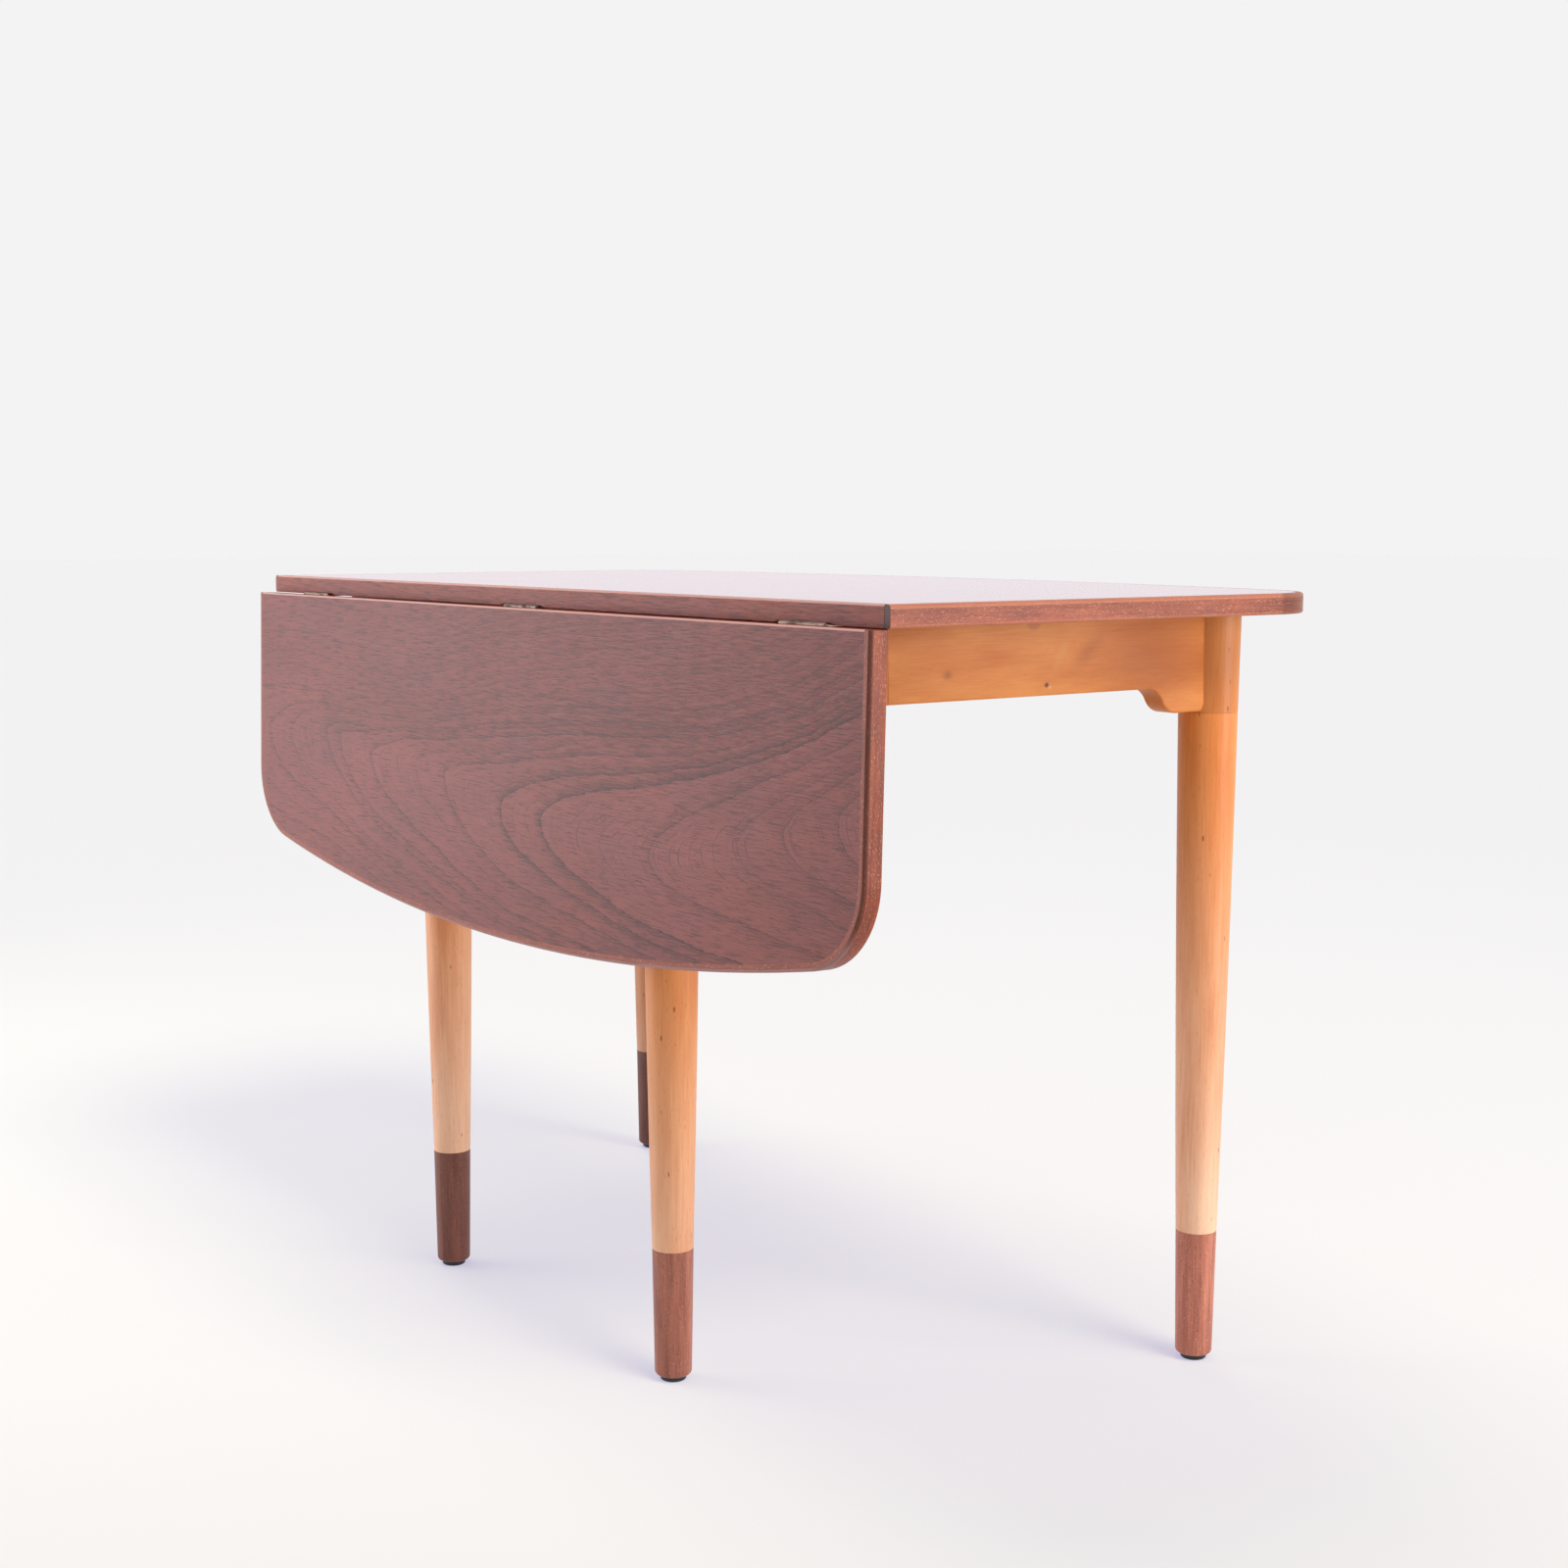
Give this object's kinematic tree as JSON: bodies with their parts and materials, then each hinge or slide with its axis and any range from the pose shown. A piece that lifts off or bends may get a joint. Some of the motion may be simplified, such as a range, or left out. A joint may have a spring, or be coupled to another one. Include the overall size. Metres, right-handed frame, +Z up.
{
  "type": "drop leaf folding table",
  "caption": "Boat-shaped teak drop leaf table on turned beech legs, with a hinged leaf that hangs at rest and lifts level, and near legs folded inboard.",
  "frame": {"origin": "on the floor under the middle of the closed table's footprint", "axes": "+X along the hinge line to the viewer's right end, the leaf hangs on the -Y side, +Z up"},
  "size_m": [1.084, 0.5968, 0.72],
  "materials": {
    "teak_veneer": "oiled teak veneer, cathedral figure",
    "teak_lipping": "solid teak edging, oiled",
    "beech_rail": "golden lacquered beech",
    "beech_leg": "golden lacquered turned beech",
    "teak_foot": "solid turned teak",
    "black_plastic": "matt black",
    "zinc_steel": "zinc plated",
    "hinge_steel": "dulled plating"
  },
  "bodies": {
    "table_frame": {"top_panel": "teak_veneer", "top_outer_lipping": "teak_lipping", "top_hinge_lipping": "teak_lipping", "back_rail": "beech_rail", "front_rail": "beech_rail", "end_rail_left": "beech_rail", "end_rail_right": "beech_rail", "corner_block_front_left": "beech_rail", "corner_block_front_right": "beech_rail", "corner_block_back_left": "beech_rail", "corner_block_back_right": "beech_rail", "knuckle_block_left": "beech_rail", "knuckle_block_right": "beech_rail", "fly_rail_left": "beech_rail", "fly_rail_right": "beech_rail", "leg_post_back_left": "beech_leg", "leg_post_back_right": "beech_leg", "leg_post_swing_left": "beech_leg", "leg_post_swing_right": "beech_leg", "leg_back_left": "beech_leg", "leg_back_right": "beech_leg", "leg_swing_left": "beech_leg", "leg_swing_right": "beech_leg", "leg_sock_back_left": "teak_foot", "leg_sock_back_right": "teak_foot", "leg_sock_swing_left": "teak_foot", "leg_sock_swing_right": "teak_foot", "foot_glide_back_left": "black_plastic", "foot_glide_back_right": "black_plastic", "foot_glide_swing_left": "black_plastic", "foot_glide_swing_right": "black_plastic", "leg_stud_back_left": "zinc_steel", "leg_stud_back_right": "zinc_steel", "leg_stud_swing_left": "zinc_steel", "leg_stud_swing_right": "zinc_steel", "knuckle_pin_left": "zinc_steel", "knuckle_pin_right": "zinc_steel", "fixing_screws": "zinc_steel", "top_hinge_screws": "zinc_steel", "hinge_left_top_plate": "hinge_steel", "hinge_left_pin": "hinge_steel", "hinge_middle_top_plate": "hinge_steel", "hinge_middle_pin": "hinge_steel", "hinge_right_top_plate": "hinge_steel", "hinge_right_pin": "hinge_steel"},
    "drop_leaf": {"leaf_panel": "teak_veneer", "leaf_outer_lipping": "teak_lipping", "leaf_hinge_lipping": "teak_lipping", "leaf_hinge_screws": "zinc_steel", "hinge_left_leaf_plate": "hinge_steel", "hinge_middle_leaf_plate": "hinge_steel", "hinge_right_leaf_plate": "hinge_steel", "leaf_rest_left": "beech_rail", "leaf_rest_right": "beech_rail"}
  },
  "joints": [
    {"name": "leaf_lift", "type": "hinge", "parent": "table_frame", "child": "drop_leaf", "pos_m": [0, -0.2715, 0.7011], "axis": [-1, 0, 0], "range_deg": [0, 88.54]}
  ]
}
